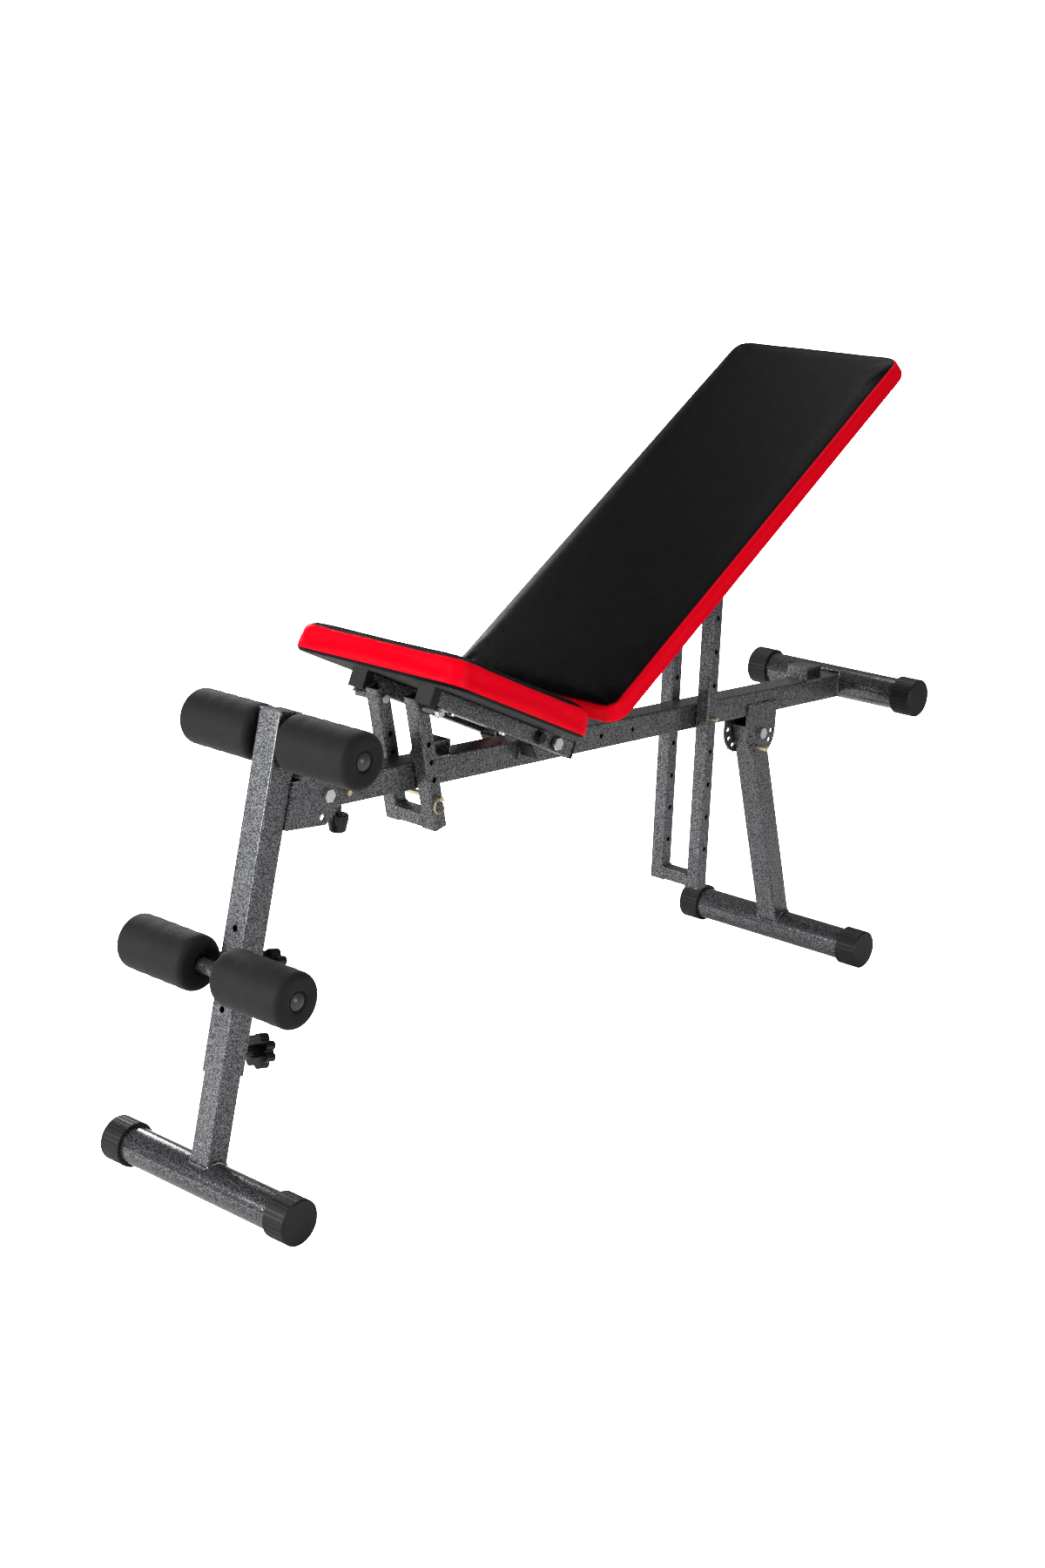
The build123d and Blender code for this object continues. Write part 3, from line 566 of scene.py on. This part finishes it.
def plain_pad(length, width, thick, upholstery, front_corner):
    """Closed pad with a rounded upper edge, bottom on Z = 0."""
    work = bmesh.new()
    ring = [work.verts.new(point) for point in
            rounded_plan(length, width, upholstery.pad_corner, 12, front_corner)]
    base = work.faces.new(ring)
    made = bmesh.ops.extrude_face_region(work, geom=[base])
    top = [v for v in made["geom"] if isinstance(v, bmesh.types.BMVert)]
    bmesh.ops.translate(work, verts=top, vec=(0, 0, thick))
    rim = [e for e in work.edges if all(v in top for v in e.verts)]
    bmesh.ops.bevel(work, geom=rim, offset=upholstery.pad_edge, segments=5, profile=0.5,
                    affect="EDGES", material=-1)
    low = [e for e in work.edges if all(abs(v.co.z) < 1e-6 for v in e.verts)]
    bmesh.ops.bevel(work, geom=low, offset=0.004, segments=3, profile=0.5, affect="EDGES",
                    material=-1)
    bmesh.ops.recalc_face_normals(work, faces=work.faces)
    return work


def inflate(pad, thick, crown, length, width):
    """Blow the cover out over its foam with cloth, held flat on its board."""
    remesh = pad.modifiers.new("even", "REMESH")
    remesh.mode = "VOXEL"
    remesh.voxel_size = 0.0055
    apply_modifiers(pad)
    mesh = pad.data
    rest = [v.co.copy() for v in mesh.vertices]
    rise = mesh.attributes.new("rise", "FLOAT", "POINT")
    for i, co in enumerate(rest):
        rise.data[i].value = min(max(co.z / thick, 0.0), 1.0)
    held = pad.vertex_groups.new(name="board")
    held.add([i for i, co in enumerate(rest) if co.z < thick * 0.18], 1.0, "REPLACE")
    cloth = pad.modifiers.new("cover", "CLOTH")
    settings = cloth.settings
    settings.quality = 4
    settings.mass = 0.35
    settings.tension_stiffness = 28
    settings.compression_stiffness = 28
    settings.shear_stiffness = 12
    settings.bending_stiffness = 2.5
    settings.use_pressure = True
    settings.uniform_pressure_force = 4.0
    settings.vertex_group_mass = "board"
    settings.effector_weights.gravity = 0
    cloth.collision_settings.use_collision = False
    cloth.point_cache.frame_start = 1
    cloth.point_cache.frame_end = 20
    for step in range(1, 21):
        bpy.context.scene.frame_set(step)
    view = bpy.context.evaluated_depsgraph_get()
    moved = [v.co.copy() for v in pad.evaluated_get(view).data.vertices]
    pad.modifiers.clear()
    bpy.context.scene.frame_set(1)
    for vertex, before, after in zip(mesh.vertices, rest, moved):
        step = after - before
        if step.length > crown:
            step *= crown / step.length
        vertex.co = before + step
    for vertex in mesh.vertices:
        from_end = min(length / 2 - abs(vertex.co.x), width / 2 - abs(vertex.co.y))
        if vertex.co.z > thick * 0.8:
            vertex.co.z += 0.0022 * (1 - math.exp(-max(from_end, 0) / 0.035))
    soft = pad.modifiers.new("soft", "SMOOTH")
    soft.iterations = 3
    soft.factor = 0.5
    finer = pad.modifiers.new("finer", "SUBSURF")
    finer.levels = 1
    finer.render_levels = 1
    apply_modifiers(pad)


def apply_modifiers(piece):
    """Replace a piece's mesh by its modified mesh."""
    view = bpy.context.evaluated_depsgraph_get()
    made = bpy.data.meshes.new_from_object(piece.evaluated_get(view))
    piece.modifiers.clear()
    piece.data = made


def fitted(pad, length, width, height):
    """Scale the blown-up pad back to the outline its cover is cut for."""
    spots = [v.co for v in pad.data.vertices]
    low = Vector([min(co[i] for co in spots) for i in range(3)])
    size = Vector([max(co[i] for co in spots) for i in range(3)]) - low
    middle = low + size / 2
    for co in spots:
        co.x = (co.x - middle.x) * length / size.x
        co.y = (co.y - middle.y) * width / size.y
        co.z = (co.z - low.z) * height / size.z


def cushion(context, name, node, angle, start, end, low, thick, puff, body, front_corner):
    upholstery = context.scene.bench_upholstery
    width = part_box(node)[1].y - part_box(node)[0].y
    work = plain_pad(end - start, width, thick, upholstery, front_corner)
    mesh = bpy.data.meshes.new(name)
    work.to_mesh(mesh)
    work.free()
    pad = bpy.data.objects.new(name, mesh)
    context.scene.collection.objects.link(pad)
    context.view_layer.objects.active = pad
    inflate(pad, thick, upholstery.crown, end - start, width)
    fitted(pad, end - start + 2 * SIDE_PUFF, width + 2 * SIDE_PUFF, thick + puff)
    shift = SIDE_PUFF if body == "seat" else 0.0
    spot = Matrix.Translation(((start + end) / 2 - shift, 0, low))
    pad.data.transform(lying(AXLE, angle) @ spot)
    for face in pad.data.polygons:
        face.use_smooth = True
    pad.data.materials.clear()
    pad.data.materials.append(vinyl(name + "_vinyl", upholstery))
    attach(pad, body)
    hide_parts(node)
    return pad


class BENCH_OT_finishes(bpy.types.Operator):
    """Give every carried-over CAD piece its finish"""
    bl_idname = "bench.finishes"
    bl_label = "Finishes"

    def execute(self, context):
        paint = context.scene.bench_paint
        hammer_group()
        grain_group()
        dust_group()
        looks = {
            "hammertone": hammered("hammertone_square", paint, 0.42),
            "black_plastic": moulded("cap_plastic", (0.004, 0.004, 0.0045), 0.5, 0.00025, 500.0),
            "gloss_knob": moulded("knob_plastic", (0.005, 0.005, 0.005), 0.20, 0.00005, 200.0),
            "zinc": plated("bright_zinc", (0.80, 0.80, 0.78), 0.22),
            "pin_steel": plated("yellow_zinc", (0.80, 0.70, 0.45), 0.26),
            "foam": foam("roller_foam", context.scene.bench_upholstery),
            "vinyl": moulded("pad_core", (0.02, 0.02, 0.02), 0.5, 0.0002, 300.0),
            "board": backing("board_cover"),
        }
        round_tubes = hammered("hammertone_round", paint, 0.22)
        plug = moulded("plug_plastic", (0.045, 0.046, 0.05), 0.34, 0.00008, 300.0)
        glossy = ("front_foot_tube", "rear_foot_tube", "rear_cross_tube", "upper_axle",
                  "lower_axle")
        slots = {part["node"]: part["material_slot"] for part in frame["record"]["subparts"]}
        count = 0
        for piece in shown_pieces():
            node = piece.get("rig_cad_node")
            if node is None:
                continue
            piece.data.materials.clear()
            piece.data.materials.append(
                round_tubes if node in glossy else plug if node == "roller_plugs"
                else looks[slots[node]])
            count += 1
        if not count:
            raise RuntimeError("no CAD pieces to finish")
        return {"FINISHED"}


class BENCH_OT_seat_cushion(bpy.types.Operator):
    """Upholster the seat"""
    bl_idname = "bench.seat_cushion"
    bl_label = "Seat cushion"

    def execute(self, context):
        cushion(context, "seat_cushion", "seat_pad", SEAT_SLOPE, -0.376, -0.0315, 0.014, 0.042,
                0.011, "seat", context.scene.bench_upholstery.seat_front_corner)
        return {"FINISHED"}


class BENCH_OT_back_cushion(bpy.types.Operator):
    """Upholster the backrest"""
    bl_idname = "bench.back_cushion"
    bl_label = "Back cushion"

    def execute(self, context):
        cushion(context, "back_cushion", "back_pad", BACK_ANGLE, 0.059, 0.997, 0.009, 0.037,
                0.005, "backrest", context.scene.bench_upholstery.pad_corner)
        return {"FINISHED"}


class BENCH_OT_rollers(bpy.types.Operator):
    """Turn the four foam rollers with soft rounded ends"""
    bl_idname = "bench.rollers"
    bl_label = "Foam rollers"

    def execute(self, context):
        edge = context.scene.bench_upholstery.roller_edge
        look = bpy.data.materials["roller_foam"]
        for level in ("upper", "lower"):
            for side in ("left", "right"):
                node = f"{level}_roller_{side}"
                low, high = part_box(node)
                centre = (low + high) / 2
                half = (high.y - low.y) / 2
                radius = (high.z - low.z) / 2
                outward = 1 if centre.y > 0 else -1
                bore, mouth = 0.0130, 0.0165
                profile = [(-half + 0.003, bore), (-half + 0.0006, bore + 0.0025)]
                profile += arc(-half + edge, radius - edge, edge, 180, 90)
                for i in range(1, 12):
                    along = -half + edge + (2 * half - 2 * edge) * i / 12
                    profile.append((along, radius + 0.0004 * math.sin(i * 2.1 + centre.x * 40)))
                profile += arc(half - edge, radius - edge, edge, 90, 0)
                profile += [(half - 0.001, mouth + 0.003), (half - 0.0025, mouth),
                            (half - 0.0055, mouth - 0.0005), (half - 0.0058, bore)]
                work = bmesh.new()
                space = Matrix.Translation(centre)
                turned(work, [(outward * a, r) for a, r in profile], space, 96)
                roller = finished(node.replace("roller", "foam_roller"), work, look,
                                  node + "_body", nodes=(node,))
        return {"FINISHED"}


class BENCH_OT_welds(bpy.types.Operator):
    """Lay weld beads where tubes and plates meet"""
    bl_idname = "bench.welds"
    bl_label = "Weld beads"

    def execute(self, context):
        bead = context.scene.bench_paint.weld_bead
        look = bpy.data.materials["hammertone_round"]
        spots = {
            "front_foot": ("front_leg", "front_foot_tube", POST_ANGLE, 0.020),
            "rear_foot": ("rear_leg", "rear_foot_tube", LEG_ANGLE + math.pi, 0.022),
            "head_tube": ("frame", "rear_cross_tube", BEAM_SLOPE + math.pi, 0.0225),
        }
        for name, (body, node, angle, half) in spots.items():
            low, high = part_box(node)
            centre = (low + high) / 2
            radius = (high.z - low.z) / 2
            work = bmesh.new()
            swept(work, saddle(centre, angle, half, radius), bead, True, 0.28, 0.0045)
            finished(name + "_weld", work, look, body)
        ladders = (("seat_ladder_swing", "seat_ladder", 102.04, 0.2065),
                   ("back_ladder_swing", "back_ladder", 88.5, 0.6365))
        for joint, body, angle, low in ladders:
            space = lying(Vector(JOINTS[joint]["pos_m"]), math.radians(angle))
            work = bmesh.new()
            for side in (-1, 1):
                outline = dense(rounded_plan(0.025, 0.025, 0.003, 3), 0.0011)
                path = [space @ Vector((point.x - low + 0.0125, side * 0.0272, point.y))
                        for point in outline]
                swept(work, path, bead * 0.75, True, 0.28, 0.004)
            finished(body + "_weld", work, look, body)
        runs = (
            ("leg_plate_weld", "frame", lying(Vector(JOINTS["rear_leg_fold"]["pos_m"]),
                                              BEAM_SLOPE), (-0.044, 0.056), (0.044, 0.056),
             0.0232),
            ("bracket_weld", "post", lying(Vector((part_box("front_foot_tube")[0].x + 0.030, 0,
                                                   0.0355)), POST_ANGLE),
             (0.538, -0.0232), (0.606, -0.0232), 0.0236),
            ("back_stop_weld", "frame", lying(AXLE, BEAM_SLOPE), (0.8173, -0.0055),
             (0.8653, -0.0055), 0.0222),
            ("seat_rest_weld", "frame", lying(AXLE, BEAM_SLOPE), (-0.2247, -0.0055),
             (-0.1827, -0.0055), 0.0222),
        )
        for name, body, space, start, end, out in runs:
            work = bmesh.new()
            for side in (-1, 1):
                a = space @ Vector((start[0], side * out, start[1]))
                b = space @ Vector((end[0], side * out, end[1]))
                swept(work, dense([a, b], 0.0011, False), bead, False, 0.3, 0.0045)
            finished(name, work, look, body)
        return {"FINISHED"}


class BENCH_OT_studio(bpy.types.Operator):
    """Set up the floor, the lights and the viewpoint"""
    bl_idname = "bench.studio"
    bl_label = "Studio"

    def execute(self, context):
        studio = context.scene.bench_studio
        scene = context.scene
        work = bmesh.new()
        bmesh.ops.create_grid(work, x_segments=2, y_segments=2, size=120.0)
        mesh = bpy.data.meshes.new("floor_sheet")
        work.to_mesh(mesh)
        work.free()
        floor = bpy.data.objects.new("floor_sheet", mesh)
        scene.collection.objects.link(floor)
        floor.location.z = min(0.0, CAD_LOW.z) - 0.0004
        sheet, tree, shader = new_material("floor_paper", Roughness=0.85)
        cloud = noise(tree, object_coordinates(tree), 1.2, 2.0)
        colour = tuple(studio.floor_colour)
        tone = mixed(tree, cloud, tuple(c * 0.985 for c in colour), colour)
        path = tree.nodes.new("ShaderNodeLightPath")
        glow = maths(tree, "MULTIPLY", path.outputs["Is Camera Ray"], 8.0)
        shader.inputs["Emission Color"].default_value = (1, 1, 1, 1)
        link(tree, (tone, shader.inputs["Base Color"]), (glow, shader.inputs["Emission Strength"]))
        mesh.materials.append(sheet)
        stage = [floor]
        lights = (
            ("overhead", (1.6, 0.6, 3.2), (0.0, 0.0, 0.4), 1.4, 40.0),
            ("window_side", (-3.2, 0.9, 1.3), (-0.2, 0.0, 0.5), 1.3, 110.0),
            ("foot_side", (-1.0, -3.4, 1.1), (0.0, 0.0, 0.5), 1.1, 55.0),
            ("far_side", (1.2, 3.4, 1.6), (0.0, 0.0, 0.5), 1.4, 80.0),
        )
        for name, place, target, size, power in lights:
            data = bpy.data.lights.new(name, "AREA")
            data.shape = "DISK"
            data.size = size
            data.energy = power
            lamp = bpy.data.objects.new(name, data)
            lamp.location = place
            aim = Vector(target) - Vector(place)
            lamp.rotation_euler = aim.to_track_quat("-Z", "Y").to_euler()
            scene.collection.objects.link(lamp)
            stage.append(lamp)
        world = bpy.data.worlds.new("soft_room")
        world.use_nodes = True
        context.scene.view_settings.view_transform = "Standard"
        room = world.node_tree
        room.nodes["Background"].inputs[0].default_value = (1, 1, 1, 1)
        seen = room.nodes.new("ShaderNodeLightPath").outputs["Is Camera Ray"]
        strength = maths(room, "ADD", 0.16, maths(room, "MULTIPLY", seen, 9.0))
        room.links.new(strength, room.nodes["Background"].inputs[1])
        scene.world = world
        yaw, pitch, roll = studio.heading, studio.pitch, studio.roll
        forward = Vector((math.cos(yaw) * math.cos(pitch), math.sin(yaw) * math.cos(pitch),
                          math.sin(pitch)))
        right = Vector((math.sin(yaw), -math.cos(yaw), 0))
        up = right.cross(forward)
        across = right * math.cos(roll) + up * math.sin(roll)
        above = up * math.cos(roll) - right * math.sin(roll)
        turn = Matrix((across, above, -forward)).transposed()
        data = bpy.data.cameras.new("viewpoint")
        data.lens = studio.lens
        data.sensor_width = 36.0
        data.sensor_fit = "AUTO"
        camera = bpy.data.objects.new("viewpoint", data)
        camera.matrix_world = Matrix.Translation(Vector(studio.eye)) @ turn.to_4x4()
        scene.collection.objects.link(camera)
        scene.camera = camera
        stage.append(camera)
        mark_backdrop(*stage)
        return {"FINISHED"}


class BENCH_PT_sidebar(bpy.types.Panel):
    """The bench's steps and settings"""
    bl_idname = "BENCH_PT_sidebar"
    bl_label = "Sit-up bench"
    bl_space_type = "VIEW_3D"
    bl_region_type = "UI"
    bl_category = "Bench"

    def draw(self, context):
        for group in (context.scene.bench_upholstery, context.scene.bench_paint,
                      context.scene.bench_studio):
            box = self.layout.box()
            for name in group.bl_rna.properties.keys():
                if name not in ("rna_type", "name"):
                    box.prop(group, name)
        for operator in STEPS:
            self.layout.operator(operator.bl_idname)


STEPS = (BENCH_OT_finishes, BENCH_OT_seat_cushion, BENCH_OT_back_cushion, BENCH_OT_rollers,
         BENCH_OT_welds, BENCH_OT_studio)
SETTINGS = (("bench_upholstery", BenchUpholstery), ("bench_paint", BenchPaint),
            ("bench_studio", BenchStudio))


def register():
    for name, group in SETTINGS:
        bpy.utils.register_class(group)
        setattr(bpy.types.Scene, name, bpy.props.PointerProperty(type=group))
    for operator in STEPS:
        bpy.utils.register_class(operator)
    bpy.utils.register_class(BENCH_PT_sidebar)


def unregister():
    bpy.utils.unregister_class(BENCH_PT_sidebar)
    for operator in reversed(STEPS):
        bpy.utils.unregister_class(operator)
    for name, group in reversed(SETTINGS):
        delattr(bpy.types.Scene, name)
        bpy.utils.unregister_class(group)


def main():
    register()
    for operator in STEPS:
        family, step = operator.bl_idname.split(".")
        if getattr(getattr(bpy.ops, family), step)() != {"FINISHED"}:
            raise RuntimeError(operator.bl_label + " did not finish")


if __name__ == "__main__":
    main()
